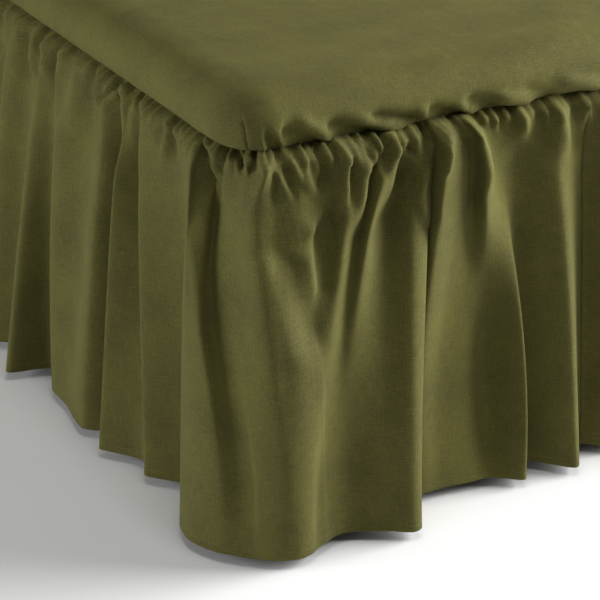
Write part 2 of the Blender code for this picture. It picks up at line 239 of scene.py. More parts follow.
# --- Gathers --------------------------------------------------------------------------
# Short pleats that run down from the seam. One row each: the place along the seam in
# millimetres and the level in hundredths of the drop at its start, middle and end, how
# wide it is to its left and right in millimetres, and how far it stands out, or in. It
# dies away over the last part of its length, and "fade" says how much, in hundredths.
PLEAT_COLUMNS = (
    "start_at", "start_level", "middle_at", "middle_level", "end_at", "end_level",
    "left", "right", "height", "fade",
)
CORNER_PLEATS = (
    (-286, 0, -304, 5, -327, 17, 6, 4, -13, 55),
    (-274, 0, -304, 6, -326, 19, 4, 5, 8, 55),
    (-262, 0, -257, 6, -243, 25, 8, 7, -9.5, 55),
    (-231, 0, -239, 2, -247, 4.4, 3, 4, -6.5, 55),
    (-170, 0, -168, 4, -163, 10, 7, 7, -6.5, 55),
    (-156, 0, -152, 6, -160, 15, 5, 6, 5, 55),
    (-147, 0, -141, 6, -135, 14, 7, 7, -8, 55),
    (-81, 0, -64, 4, -50, 16, 6, 6, -9, 55),
    (-70, 0, -60, 4.5, -55, 10, 5, 4, 6, 55),
    (-50, 0, -51, 5, -48, 15, 5, 5, -6, 55),
    (-37, 0, -45, 6, -44, 17, 5, 6, 7, 55),
    (-25, 0, -36, 7, -40, 18, 6, 6, -9.5, 55),
    (-13, 0, -1, 3.6, 6, 7.5, 6, 5, -11, 55),
    (12, 0, 9, 3, 6, 7, 2.5, 2.5, 5, 55),
    (14, 0, 13, 3, 11, 8, 4, 5, -8, 55),
    (26, 0, 25, 3, 24, 12, 6, 26, 12, 60),
    (20, 0, 20, 2, 20, 4, 3, 3, 5, 55),
    (28, 0, 28, 1.2, 28, 2.8, 2.5, 2.5, -6.5, 55),
    (34, 0, 34, 1.6, 33, 3.6, 2.5, 2.5, 5, 55),
    (41, 0, 41, 1.6, 42, 3.4, 2.5, 2.5, -6.5, 55),
    (32, 1, 20, 7, 16, 13, 4, 4, 7, 55),
    (34, 3, 32, 8, 30, 14, 3, 3, -5.5, 55),
    (34, 3, 40, 7, 50, 12, 3, 3, 5.5, 55),
    (43, 3, 46, 7, 52, 13, 3, 3, -5, 55),
    (50, 0, 54, 4, 62, 9, 5, 4, 6.5, 55),
    (-46, 23, -24, 38, -7, 60, 5, 4, 3.5, 45),
    (21, 21, 27, 32, 34, 52, 14, 8, 9, 25),
    (36, 0, 37, 1.5, 40, 4.5, 4, 4, -11, 60),
    (88, 0, 86, 2, 82, 5, 4, 4, -9, 60),
    (141, 0, 137, 2, 130, 6, 4, 4, -10, 60),
    (173, 0, 169, 2.5, 160, 7, 5, 4, -12, 60),
    (196, 0, 192, 2, 186, 5, 4, 4, -9, 60),
    (229, 0, 229, 2.5, 230, 6, 4, 4, -12, 60),
    (268, 0, 266, 2, 264, 5.5, 6, 5, -12, 60),
    (296, 0, 300, 2, 304, 5, 5, 5, -10, 60),
    (41, 23, 43, 34.5, 47, 50, 8, 9, -8, 30),
    (66, 16, 56, 26.5, 50, 37, 14, 8, 11, 25),
    (95, 14, 81, 27, 68, 38.5, 8, 8, -8, 25),
    (74, 0, 67, 5.5, 81, 12, 8, 5, 9, 35),
    (89, 4, 88, 8, 81, 11, 6, 5, -9, 35),
    (99, 0, 86, 9.5, 63, 22, 18, 8, 13, 30),
    (114, 0, 108, 3, 100, 8, 10, 6, 11, 35),
    (110, 0, 106, 2.5, 99, 5.5, 4, 4, -7, 40),
    (121, 0, 111, 5.5, 102, 15, 12, 7, 13, 40),
    (121, 3, 116, 8.5, 114, 17, 7, 6, -11, 50),
    (146, 0, 135, 6.5, 121, 24, 12, 7, 13, 50),
    (167, 0, 158, 2.5, 134, 8, 8, 5, 10, 40),
    (155, 0, 147, 2.5, 141, 4.5, 5, 5, -8, 40),
    (173, 0, 164, 4, 153, 9, 5, 5, -10, 35),
    (181, 0, 175, 7.5, 165, 22, 16, 12, 18, 50),
    (191, 0, 198, 5, 206, 12, 12, 7, 13, 40),
    (203, 3, 204, 6.5, 193, 14, 8, 9, -8, 35),
    (204, 0, 206, 3.5, 213, 6, 4, 4, 6, 35),
    (213, 0, 209, 5, 206, 17, 8, 12, 9, 45),
    (239, 0, 242, 0.5, 241, 2, 4, 4, 6, 30),
    (248, 0, 251, 0.5, 251, 2, 3, 3, 5, 30),
    (239, 3, 238, 7, 227, 11, 4, 4, 5, 30),
    (258, 0, 217, 9, 234, 28, 6, 16, 9, 35),
    (276, 3, 280, 10.5, 284, 25, 8, 8, -5, 35),
    (284, 0, 290, 4, 290, 20, 10, 10, 10, 45),
    (273, 0, 275, 1, 276, 1.5, 4, 4, 5, 40),
    (309, 0, 314, 1.5, 320, 2.5, 4, 4, 5, 40),
    (324, 0, 325, 2.5, 327, 4.5, 4, 4, 5, 40),
)

# --- How the other gathers are spread, in millimetres ---------------------------------
# Larger pleats lie outside the corner's reach, and the smallest tucks lie everywhere.
GATHER_SEED = 5
PLEAT_PITCH = (13, 30)
PLEAT_LENGTH = (8, 34)  # hundredths of the drop
PLEAT_LEAN = 14  # how far a pleat may run sideways on its way down
PLEAT_HEIGHT = (4.5, 11.0)
TUCK_PITCH = (5, 11)
TUCK_LENGTH = (3, 9)  # hundredths of the drop
TUCK_LEAN = 3
TUCK_HEIGHT = (2.5, 5.5)
CORNER_REACH = (-330, 345)  # where the corner's own pleats are listed
LEFT_SHARE = (0.35, 0.65)  # how much of a spread pleat's width lies to its left
MIDDLE_LEAN = 0.45  # how much of its lean a spread pleat has by its middle
SPREAD_FADE = 55

# --- How every pleat rises and dies away ----------------------------------------------
RISE_RUN = 0.12  # the share of its length in which a pleat reaches its full height
SEAM_START = 0.55  # one that starts at the seam is this far through its rise there
START_WIDTH = 0.8  # of its stated width
WIDTH_GAIN = 0.5  # what it has gained by its end
PLEAT_REACH = 4  # how many of its widths to each side it is worked out over


def random_pleats(chance, pitch, length, lean, height, skip=None):
    """Pleats all along the seam, in and out by turns, none inside the skipped reach."""
    place, end = -SIDE_RUN / MM, (FOOT_RUN + SIDE_RUN) / MM
    rows, side = [], 1
    while place < end:
        step = chance.uniform(*pitch)
        place += step
        side = -side
        run = chance.uniform(*length)
        drift = chance.uniform(-lean, lean)
        tall = chance.uniform(*height) * side
        share = chance.uniform(*LEFT_SHARE)
        if skip and skip[0] < place < skip[1]:
            continue
        row = (
            place, 0, place + drift * MIDDLE_LEAN, run / 2, place + drift, run,
            step * share, step * (1 - share), tall, SPREAD_FADE,
        )
        rows.append(row)
    return rows


def ease(value):
    """Smooth step from 0 to 1."""
    value = np.clip(value, 0.0, 1.0)
    return value * value * (3 - 2 * value)


def add_pleat(relief, place, level, row):
    """Adds one pleat's height to the relief, on the columns near it."""
    pleat = dict(zip(PLEAT_COLUMNS, row))
    starts, ends = pleat["start_level"] / 100, pleat["end_level"] / 100
    width = max(pleat["left"], pleat["right"]) * MM * PLEAT_REACH
    at = [pleat[key] * MM for key in ("start_at", "middle_at", "end_at")]
    rows = np.flatnonzero((level >= starts) & (level <= ends))
    near = (place[rows] > min(at) - width) & (place[rows] < max(at) + width)
    columns = np.flatnonzero(near.any(axis=0))
    if not len(rows) or not len(columns):
        return
    window = np.ix_(rows, columns)
    run = (level[rows, None] - starts) / (ends - starts)
    knee = (pleat["middle_level"] / 100 - starts) / (ends - starts)
    bend = ((at[1] - at[0]) / knee - (at[2] - at[0])) / (knee - 1)
    centre = at[0] + (at[2] - at[0] - bend) * run + bend * run * run
    head_start = 0.0 if starts > 0 else SEAM_START
    fade = pleat["fade"] / 100
    strength = ease(run / RISE_RUN + head_start) * ease((1 - run) / fade)
    away = place[window] - centre
    spread = np.where(away < 0, pleat["left"], pleat["right"]) * MM
    spread *= START_WIDTH + WIDTH_GAIN * run
    relief[window] += pleat["height"] * MM * strength * np.exp(-((away / spread) ** 2))


def gather_relief(place, level):
    """How far the gathers stand out from the large folds, or in."""
    chance = random.Random(GATHER_SEED)
    rows = list(CORNER_PLEATS)
    rows += random_pleats(
        chance, PLEAT_PITCH, PLEAT_LENGTH, PLEAT_LEAN, PLEAT_HEIGHT, CORNER_REACH
    )
    rows += random_pleats(chance, TUCK_PITCH, TUCK_LENGTH, TUCK_LEAN, TUCK_HEIGHT)
    relief = np.zeros_like(place)
    for row in rows:
        add_pleat(relief, place, level, row)
    return relief


# --- The skirt's surface --------------------------------------------------------------
FINE_STEP = 0.0032  # between columns near the corner at -X, -Y
PLAIN_STEP = 0.0065
FINE_REACH = (-0.33, 0.42)  # the places between which the columns lie close
SEAM_MARGIN = 1.15  # the gathers take more columns than the seam's own length
SEAM_PINCH = 0.003  # the gathered edge tucks in below the seam, then swells out
SIDE_SWELL = 0.009  # along the long sides
FOOT_SWELL = 0.015  # along the foot
LASTING_SWELL = 0.0045  # what is left of the swelling lower down
SWELL_BLEND = 0.06  # the length of seam at each foot corner over which it changes
# Levels: where the pinch ends, how far the swelling takes to rise, and where it is
# down to what lasts.
PINCH_END = 0.008
SWELL_RUN = 0.024
SWELL_END = 0.24
LEAST_OUT = -0.0035  # no fold goes further in than this
LEAST_CHORD = 1e-6  # keeps folds that meet at a level apart in the sums
# Rows, by how far down the cloth they are: at the seam, through the gathers and down
# the body. The hem's own are given by how far they are above its edge.
SEAM_ROWS = (0.0, 0.0012, 0.0026)
GATHERS_END = 0.150
BODY_REACH = (0.156, 0.432)
ROW_COUNT = 38  # in the gathers, and again in the body
HEM_DEPTH = 0.009  # from the hem's edge up to its row of stitches
HEM_ROWS = (0.0135, 0.0105, 0.0095, HEM_DEPTH, 0.0085, 0.0075, 0.0035, 0.0)
HEM_GROOVE = 0.0005
STITCH_LEVEL = 1 - HEM_DEPTH / DROP


def skirt_levels():
    """Levels down the skirt: close together in the gathers and at the hem."""
    gathers = np.linspace(0, GATHERS_END, ROW_COUNT)[1:]
    body = np.linspace(*BODY_REACH, ROW_COUNT)
    hem = DROP - np.array(HEM_ROWS)
    return np.concatenate([SEAM_ROWS, gathers, body, hem]) / DROP


def level_weights(level):
    """How much of each fold's four levels goes into a level: a cubic through them."""
    knots = np.array([0.0, SHOULDER, MIDDLE, 1.0]) ** OPENING_POWER
    part = level**OPENING_POWER
    weights = np.ones((len(level), len(knots)))
    for number, knot in enumerate(knots):
        for other in knots:
            if other != knot:
                weights[:, number] *= (part - other) / (knot - other)
    return weights


def column_shares(folds):
    """For each column, the fold before it and its share of the way to the next."""
    fold_numbers, shares = [], []
    for number, (one, other) in enumerate(zip(folds, folds[1:])):
        step = other - one
        fine = FINE_REACH[0] < (one[SEAM_AT] + other[SEAM_AT]) / 2 < FINE_REACH[1]
        at_seam = step[SEAM_AT] * SEAM_MARGIN
        at_shoulder = math.hypot(step[SHOULDER_AT], step[SHOULDER_OUT])
        at_hem = math.hypot(step[HEM_AT], step[HEM_OUT])
        run = max(at_seam, at_shoulder, at_hem)
        count = math.ceil(run / (FINE_STEP if fine else PLAIN_STEP))
        fold_numbers += [number] * count
        shares += [column / count for column in range(count)]
    fold_numbers.append(len(folds) - 2)
    shares.append(1.0)
    return np.array(fold_numbers), np.array(shares)


def through_folds(value, chord, crease, number, share):
    """Values along smooth curves through the folds, one curve for each level."""
    slope = np.diff(value) / chord
    turn = np.empty_like(value)
    turn[:, 0], turn[:, -1] = slope[:, 0], slope[:, -1]
    both = (value[:, 2:] - value[:, :-2]) / (chord[:, 1:] + chord[:, :-1])
    turn[:, 1:-1] = slope[:, 1:] + slope[:, :-1] - both
    turn = turn * (1 - crease)
    start, end = value[:, number], value[:, number + 1]
    leave = turn[:, number] * chord[:, number]
    arrive = turn[:, number + 1] * chord[:, number]
    rise = end - start
    cubic = leave + arrive - 2 * rise
    square = 3 * rise - 2 * leave - arrive
    return start + share * (leave + share * (square + share * cubic))


def seam_swell(place, level):
    """How far the gathered edge tucks in, then swells out, below the seam."""
    pinch = np.sin(math.pi * np.clip(level / PINCH_END, 0, 1))
    rise = ease((level - PINCH_END / 2) / SWELL_RUN)
    fall = ease((level - SWELL_RUN) / (SWELL_END - SWELL_RUN))
    past_near = ease((place + SWELL_BLEND / 2) / SWELL_BLEND)
    before_far = ease((FOOT_RUN + SWELL_BLEND / 2 - place) / SWELL_BLEND)
    full = SIDE_SWELL + (FOOT_SWELL - SIDE_SWELL) * past_near * before_far
    swell = full + (LASTING_SWELL - full) * fall[:, None]
    return swell * rise[:, None] - SEAM_PINCH * pinch[:, None]


def stitch_row(level):
    """The number of the row that the hem's stitches lie on."""
    return int(np.argmin(np.abs(level - STITCH_LEVEL)))


def skirt_surface():
    """The skirt's points, rows down by columns along, and each column's first fold."""
    folds = all_folds()
    level = skirt_levels()
    number, share = column_shares(folds)
    weights = level_weights(level)
    at = weights @ folds[:, :SHOULDER_OUT].T
    none = np.zeros((len(folds), 1))
    out = np.maximum(weights @ np.hstack([none, folds[:, SHOULDER_OUT:CREASE]]).T, 0.0)
    # The square root keeps the curves from swinging past folds that lie close together.
    chord = np.sqrt(np.hypot(np.diff(at), np.diff(out))) + LEAST_CHORD
    crease = folds[:, CREASE]
    place = through_folds(at, chord, crease, number, share)
    stands = through_folds(out, chord, crease, number, share)
    stands += gather_relief(place, level)
    stands += seam_swell(place, level)
    stands[stitch_row(level)] -= HEM_GROOVE
    stands = np.maximum(stands, LEAST_OUT)
    stands[0] = 0.0
    point, outward = seam_point(place)
    flat = point + outward * stands[..., None]
    height = np.broadcast_to((SKIRT_TOP - DROP * level)[:, None], place.shape)
    return np.dstack([flat, height]), number


def cloth_run(points):
    """How far along the cloth each column lies, by the mean of three lower rows."""
    count = len(points)
    rows = points[[count // 2, 3 * count // 4, -1]]
    steps = np.linalg.norm(np.diff(rows, axis=1), axis=2).mean(axis=0)
    return np.concatenate([[0.0], np.cumsum(steps)])


def sheet_mesh(name, points, cloth_u, cloth_v):
    """A grid of points as an open sheet, with its place on the flat cloth as its UV."""
    rows, columns = points.shape[:2]
    index = np.arange(rows * columns).reshape(rows, columns)
    corners = (index[:-1, :-1], index[1:, :-1], index[1:, 1:], index[:-1, 1:])
    faces = np.stack(corners, axis=-1).reshape(-1, 4)
    mesh = bpy.data.meshes.new(name)
    mesh.from_pydata(points.reshape(-1, 3).tolist(), [], faces.tolist())
    layer = mesh.uv_layers.new(name=CLOTH_MAP)
    flat = np.stack([cloth_u, cloth_v], axis=-1).reshape(-1, 2)
    layer.data.foreach_set("uv", flat[faces.reshape(-1)].astype(np.float32).ravel())
    mesh.shade_smooth()
    mesh.update()
    thing = bpy.data.objects.new(name, mesh)
    bpy.context.scene.collection.objects.link(thing)
    return thing


def thicken(thing):
    """Turns the open sheet into a closed one of the cloth's thickness."""
    thick = thing.modifiers.new("cloth_thickness", "SOLIDIFY")
    thick.thickness = CLOTH
    thick.offset = 0.0
    thick.use_even_offset = False
    thick.use_rim = True
    apply_modifiers(thing)


def apply_modifiers(thing):
    """Makes what the modifiers show into the object's own mesh."""
    graph = bpy.context.evaluated_depsgraph_get()
    mesh = bpy.data.meshes.new_from_object(thing.evaluated_get(graph))
    thing.modifiers.clear()
    old = thing.data
    thing.data = mesh
    bpy.data.meshes.remove(old)
    mesh.name = thing.name


# --- Materials ------------------------------------------------------------------------


def srgb(hex_colour):
    """An sRGB hex colour as linear red, green, blue and alpha."""
    parts = [int(hex_colour[i : i + 2], 16) / 255 for i in (1, 3, 5)]
    linear = [p / 12.92 if p <= 0.04045 else ((p + 0.055) / 1.055) ** 2.4 for p in parts]
    return (*linear, 1.0)


def add_node(tree, kind, inputs=None, **settings):
    """Adds a node with its settings, and links or sets its inputs."""
    node = tree.nodes.new(kind)
    for key, value in settings.items():
        setattr(node, key, value)
    for key, value in (inputs or {}).items():
        if isinstance(value, bpy.types.NodeSocket):
            tree.links.new(value, node.inputs[key])
        else:
            node.inputs[key].default_value = value
    return node


def new_material(name, roughness, specular):
    """A material, its node tree and its shader."""
    material = bpy.data.materials.new(name)
    material.use_nodes = True
    shader = material.node_tree.nodes["Principled BSDF"]
    shader.inputs["Roughness"].default_value = roughness
    shader.inputs["Specular IOR Level"].default_value = specular
    return material, material.node_tree, shader


def band_scale(pitch):
    """A Wave texture's scale for bands that repeat at the pitch."""
    return math.pi / 10 / pitch


def noise_scale(size):
    """A Noise texture's scale for spots of about this size."""
    return 1 / size


# The cotton's threads lie about 0.35 mm apart and its nap is finer still. Both are too
# fine to show, so they are drawn coarser.
DRAWN_THREAD = 1.5 * MM
NAP_SPOT = 1.923 * MM
SLUB_LONG, SLUB_WIDE = 16.67 * MM, 1.613 * MM  # the thick places in a thread
DYE_PATCH = 71.43 * MM  # how widely the dye takes more, and less
CRUMPLE = 18.18 * MM  # the soft creases that washing leaves
CRUMPLE_DEPTH, SLUB_DEPTH, THREAD_DEPTH = 1.2 * MM, 0.25 * MM, 0.2 * MM
YARN_FLECK = 5.556 * MM  # in the plain cloths of the bed itself
YARN_DEPTH = 0.4 * MM


def olive_cotton():
    """Plain-woven cotton, dyed olive and pressed: matt, with a faint sheen on its nap.

    Slubs make short streaks along both threads, the nap gives a fine grain, and the
    dye varies slowly. Small soft crumples catch the light.
    """
    material, tree, shader = new_material("olive_cotton", 0.82, 0.18)
    cloth = add_node(tree, "ShaderNodeUVMap", uv_map=CLOTH_MAP).outputs["UV"]
    thread_scale = band_scale(DRAWN_THREAD)
    warp = add_node(
        tree, "ShaderNodeTexWave", {"Vector": cloth, "Scale": thread_scale},
        bands_direction="X",
    )
    weft = add_node(
        tree, "ShaderNodeTexWave", {"Vector": cloth, "Scale": thread_scale},
        bands_direction="Y",
    )
    weave = add_node(
        tree, "ShaderNodeMath", {0: warp.outputs["Fac"], 1: weft.outputs["Fac"]},
        operation="MULTIPLY",
    )
    long, wide = noise_scale(SLUB_LONG), noise_scale(SLUB_WIDE)
    slub_across = add_node(tree, "ShaderNodeMapping", {"Vector": cloth, "Scale": (long, wide, 1)})
    slub_down = add_node(tree, "ShaderNodeMapping", {"Vector": cloth, "Scale": (wide, long, 1)})
    across = add_node(
        tree, "ShaderNodeTexNoise",
        {"Vector": slub_across.outputs["Vector"], "Scale": 1.0, "Detail": 2.0},
    )
    down = add_node(
        tree, "ShaderNodeTexNoise",
        {"Vector": slub_down.outputs["Vector"], "Scale": 1.0, "Detail": 2.0},
    )
    slubs = add_node(
        tree, "ShaderNodeMath", {0: across.outputs["Fac"], 1: down.outputs["Fac"]},
        operation="ADD",
    )
    dye = add_node(
        tree, "ShaderNodeTexNoise",
        {"Vector": cloth, "Scale": noise_scale(DYE_PATCH), "Detail": 3.0},
    )
    nap = add_node(
        tree, "ShaderNodeTexNoise",
        {"Vector": cloth, "Scale": noise_scale(NAP_SPOT), "Detail": 1.0},
    )
    fine_tone = add_node(
        tree, "ShaderNodeMath", {0: slubs.outputs[0], 1: 0.7, 2: nap.outputs["Fac"]},
        operation="MULTIPLY_ADD",
    )
    tone = add_node(
        tree, "ShaderNodeMath", {0: dye.outputs["Fac"], 1: 0.8, 2: fine_tone.outputs[0]},
        operation="MULTIPLY_ADD",
    )
    share = add_node(
        tree, "ShaderNodeMapRange",
        {"Value": tone.outputs[0], "From Min": 1.12, "From Max": 2.08},
    )
    colour = add_node(
        tree, "ShaderNodeMix",
        {0: share.outputs["Result"], 6: srgb("#434020"), 7: srgb("#64612d")},
        data_type="RGBA",
    )
    tree.links.new(colour.outputs[2], shader.inputs["Base Color"])
    crumple = add_node(
        tree, "ShaderNodeTexNoise",
        {"Vector": cloth, "Scale": noise_scale(CRUMPLE), "Detail": 2.0},
    )
    crumple_bump = add_node(
        tree, "ShaderNodeBump",
        {"Strength": 0.5, "Distance": CRUMPLE_DEPTH, "Height": crumple.outputs["Fac"]},
    )
    slub_bump = add_node(
        tree, "ShaderNodeBump",
        {
            "Strength": 0.35, "Distance": SLUB_DEPTH, "Height": slubs.outputs[0],
            "Normal": crumple_bump.outputs["Normal"],
        },
    )
    weave_bump = add_node(
        tree, "ShaderNodeBump",
        {
            "Strength": 0.35, "Distance": THREAD_DEPTH, "Height": weave.outputs[0],
            "Normal": slub_bump.outputs["Normal"],
        },
    )
    tree.links.new(weave_bump.outputs["Normal"], shader.inputs["Normal"])
    shader.inputs["Sheen Weight"].default_value = 0.12
    shader.inputs["Sheen Roughness"].default_value = 0.45
    shader.inputs["Sheen Tint"].default_value = srgb("#c9c48a")
    return material


def plain_weave(name, dark, light, pitch, roughness):
    """Woven cloth in two close tones, on an object's own coordinates."""
    material, tree, shader = new_material(name, roughness, 0.25)
    place = add_node(tree, "ShaderNodeTexCoord").outputs["Object"]
    scale = band_scale(pitch)
    waves = [
        add_node(
            tree, "ShaderNodeTexWave",
            {"Vector": place, "Scale": scale, "Distortion": 1.2, "Detail": 1.0},
            bands_direction=way,
        ).outputs["Fac"]
        for way in ("X", "Y", "Z")
    ]
    pair = add_node(tree, "ShaderNodeMath", {0: waves[0], 1: waves[1]}, operation="ADD")
    three = add_node(tree, "ShaderNodeMath", {0: pair.outputs[0], 1: waves[2]}, operation="ADD")
    fleck = add_node(
        tree, "ShaderNodeTexNoise",
        {"Vector": place, "Scale": noise_scale(YARN_FLECK), "Detail": 3.0},
    )
    mixed = add_node(
        tree, "ShaderNodeMath", {0: three.outputs[0], 1: 0.25, 2: fleck.outputs["Fac"]},
        operation="MULTIPLY_ADD",
    )
    share = add_node(
        tree, "ShaderNodeMapRange",
        {"Value": mixed.outputs[0], "From Min": 0.55, "From Max": 1.15},
    )
    colour = add_node(
        tree, "ShaderNodeMix",
        {0: share.outputs["Result"], 6: srgb(dark), 7: srgb(light)}, data_type="RGBA",
    )
    tree.links.new(colour.outputs[2], shader.inputs["Base Color"])
    bump = add_node(
        tree, "ShaderNodeBump",
        {"Strength": 0.4, "Distance": YARN_DEPTH, "Height": three.outputs[0]},
    )
    tree.links.new(bump.outputs["Normal"], shader.inputs["Normal"])
    return material


def topper_ticking():
    """Cotton ticking, closely woven: pale and smooth, with a faint even grain."""
    return plain_weave("topper_ticking", "#d9d4c6", "#efebe0", 2.0 * MM, 0.85)


def base_upholstery():
    """Upholstery cloth woven from thick yarn: grey-beige, matt, with a coarser grain."""
    return plain_weave("base_upholstery", "#9c9484", "#b7b0a2", 2.6 * MM, 0.9)


def sewing_thread():
    """Olive polyester thread, a little lighter and glossier than the cotton."""
    material, _, shader = new_material("sewing_thread", 0.55, 0.4)
    shader.inputs["Base Color"].default_value = srgb("#77743c")
    return material


# --- The skirt's pieces ---------------------------------------------------------------
# The cloth is joined from six widths. Each join lies in the valley nearest to one of
# these places along the seam, in metres.
WIDTH_JOINS = (-1.10, -0.300, 0.42, 1.25, 2.05)
WIDTH_NAMES = (
    "skirt_left_head", "skirt_left_foot", "skirt_corner", "skirt_foot",
    "skirt_right_foot", "skirt_right_head",
)


def join_columns(folds, number):
    """The columns at which the widths of cloth meet: the valley nearest each join."""
    hem_out = folds[:, HEM_OUT]
    valleys = [
        fold for fold in range(1, len(folds) - 1)
        if hem_out[fold] < min(hem_out[fold - 1], hem_out[fold + 1])
    ]
    columns = []
    for join in WIDTH_JOINS:
        nearest = min(valleys, key=lambda fold: abs(folds[fold, SEAM_AT] - join))
        columns.append(int(np.flatnonzero(number == nearest)[0]))
    return columns


def make_skirt(cotton):
    """The six widths, each with its flat length, and the surface they are cut from."""
    points, number = skirt_surface()
    run = cloth_run(points)
    fall = -skirt_levels() * DROP
    cuts = [0, *join_columns(all_folds(), number), points.shape[1] - 1]
    widths = []
    for name, start, end in zip(WIDTH_NAMES, cuts, cuts[1:]):
        part = slice(start, end + 1)
        cloth_u, cloth_v = np.meshgrid(run[part], fall)
        width = sheet_mesh(name, points[:, part], cloth_u, cloth_v)
        width.data.materials.append(cotton)
        thicken(width)
        widths.append((width, run[end] - run[start]))
    return widths, points


# --- The hem's stitches ---------------------------------------------------------------
STITCH_PITCH = 0.0032
STITCH_LENGTH = 0.0024
STITCH_THICK = 0.0004
STITCH_PROUD = 0.2  # of its thickness, from the cloth's face to its middle
STITCH_SIDES = 6


def stitch_tree(thread):
    """Geometry nodes that lay a stitch at each pitch along a curve."""
    tree = bpy.data.node_groups.new("hem_stitching", "GeometryNodeTree")
    face = tree.interface
    face.new_socket("Geometry", in_out="INPUT", socket_type="NodeSocketGeometry")
    for name in ("Pitch", "Length", "Thickness"):
        face.new_socket(name, in_out="INPUT", socket_type="NodeSocketFloat")
    face.new_socket("Geometry", in_out="OUTPUT", socket_type="NodeSocketGeometry")
    given = add_node(tree, "NodeGroupInput").outputs
    places = add_node(
        tree, "GeometryNodeResampleCurve", {"Curve": given["Geometry"], "Length": given["Pitch"]},
        mode="LENGTH",
    )
    half = add_node(tree, "ShaderNodeMath", {0: given["Thickness"], 1: 0.5}, operation="MULTIPLY")
    thread_run = add_node(
        tree, "GeometryNodeMeshCylinder",
        {"Vertices": STITCH_SIDES, "Radius": half.outputs[0], "Depth": given["Length"]},
        fill_type="TRIANGLE_FAN",
    )
    along = add_node(
        tree, "FunctionNodeAlignRotationToVector",
        {"Vector": add_node(tree, "GeometryNodeInputTangent").outputs[0]}, axis="Z",
    )
    laid = add_node(
        tree, "GeometryNodeInstanceOnPoints",
        {
            "Points": places.outputs["Curve"], "Instance": thread_run.outputs["Mesh"],
            "Rotation": along.outputs[0],
        },
    )
    real = add_node(tree, "GeometryNodeRealizeInstances", {0: laid.outputs["Instances"]})
    painted = add_node(
        tree, "GeometryNodeSetMaterial", {"Geometry": real.outputs[0], "Material": thread}
    )
    add_node(tree, "NodeGroupOutput", {0: painted.outputs[0]})
    return tree


def make_hem_stitches(points, thread):
    """A row of stitches in the groove above the hem's edge, on the outer side."""
    line = points[stitch_row(skirt_levels())].copy()
    along = np.gradient(line, axis=0)
    inward = np.stack([-along[:, 1], along[:, 0]], axis=-1)
    inward /= np.linalg.norm(inward, axis=1, keepdims=True)
    line[:, :2] -= inward * (CLOTH / 2 + STITCH_THICK * STITCH_PROUD)
    curve = bpy.data.curves.new("hem_line", "CURVE")
    curve.dimensions = "3D"
    spline = curve.splines.new("POLY")
    spline.points.add(len(line) - 1)
    spline.points.foreach_set("co", np.hstack([line, np.ones((len(line), 1))]).ravel())
    path = bpy.data.objects.new("hem_line", curve)
    bpy.context.scene.collection.objects.link(path)
    tree = stitch_tree(thread)
    modifier = path.modifiers.new("stitching", "NODES")
    modifier.node_group = tree
    sizes = {"Pitch": STITCH_PITCH, "Length": STITCH_LENGTH, "Thickness": STITCH_THICK}
    for socket in tree.interface.items_tree:
        if socket.in_out == "INPUT" and socket.name in sizes:
            modifier[socket.identifier] = sizes[socket.name]
    graph = bpy.context.evaluated_depsgraph_get()
    mesh = bpy.data.meshes.new_from_object(path.evaluated_get(graph))
    stitches = bpy.data.objects.new("hem_stitches", mesh)
    bpy.context.scene.collection.objects.link(stitches)
    bpy.data.objects.remove(path, do_unlink=True)
    return stitches


# --- The fitted top -------------------------------------------------------------------
# The top is one grid over the flat cloth. Past the lines through the topper's corner
# centres it rolls over the edge and down to the seam, and at each corner its square
# turns into a round one, whose diagonal is the corner's dart.
CORNER_X = topper_high[0] - TOPPER_CORNER
CORNER_Y = topper_high[1] - TOPPER_CORNER
UPPER_R = TOPPER_UPPER_ROUND + CLOTH_AWAY
LOWER_R = TOPPER_LOWER_ROUND + CLOTH_AWAY
FLAT_RIM = TOPPER_CORNER - TOPPER_UPPER_ROUND
UPPER_Z = topper_high[2] - TOPPER_UPPER_ROUND
LOWER_Z = topper_low[2] + TOPPER_LOWER_ROUND
TUCK_TURN = math.radians(64)  # how far the cloth turns under the topper
UPPER_ARC = UPPER_R * math.pi / 2
SIDE_HIGH = UPPER_Z - LOWER_Z
SECTION_RUN = FLAT_RIM + UPPER_ARC + SIDE_HIGH + LOWER_R * TUCK_TURN
SIDE_PUFF = 0.003  # the upright cloth swells out by this much along the sides
FOOT_PUFF = 0.005  # and by this much along the foot
PUFF_FROM = 0.055  # the swelling starts this far over the edge
PUFF_RUN = 0.03  # and takes this far to grow
PUFF_RISE = 0.016  # the side swells to its full puff this far above the seam
EDGE_SOFTNESS = 0.022  # how widely the padding rounds the top's edge
EDGE_REACH = 0.05  # how far to each side the rounding is worked out
EDGE_MARGIN = 0.06  # how far past both its ends the edge's line is drawn for that
EDGE_STEP = 0.5 * MM
PAD_LIFT = 0.0025  # how far the padding lifts the cloth
SOFT_FROM = 0.05  # the padding rounds the cloth from this far above the seam
SOFT_START = 0.02  # and takes this far over the edge to begin
CROWN = 0.001  # the middle of the bed stands this much higher than its rim
CROWN_POWERS = (4, 8)  # how late it falls away, across the bed and along it
CROWN_EASE = 0.8  # a power below 1 fills its shoulders out
LEAST_RUN = 1e-9  # keeps the flat of the top from dividing by nothing
SEAM_FADE = 0.006  # the wrinkles begin over this height above the seam
# The grid's lines: their steps at the edges at -X and -Y, on the flat and at the other
# two edges, and how far past the edges at -X and -Y the close lines go.
NEAR_STEP = 0.0035
FAR_STEP = 0.0060
INNER_STEPS = (0.0070, 0.0120)  # across and along the bed
NEAR_REACHES = (0.02, 0.10)
FAR_REACH = 0.01
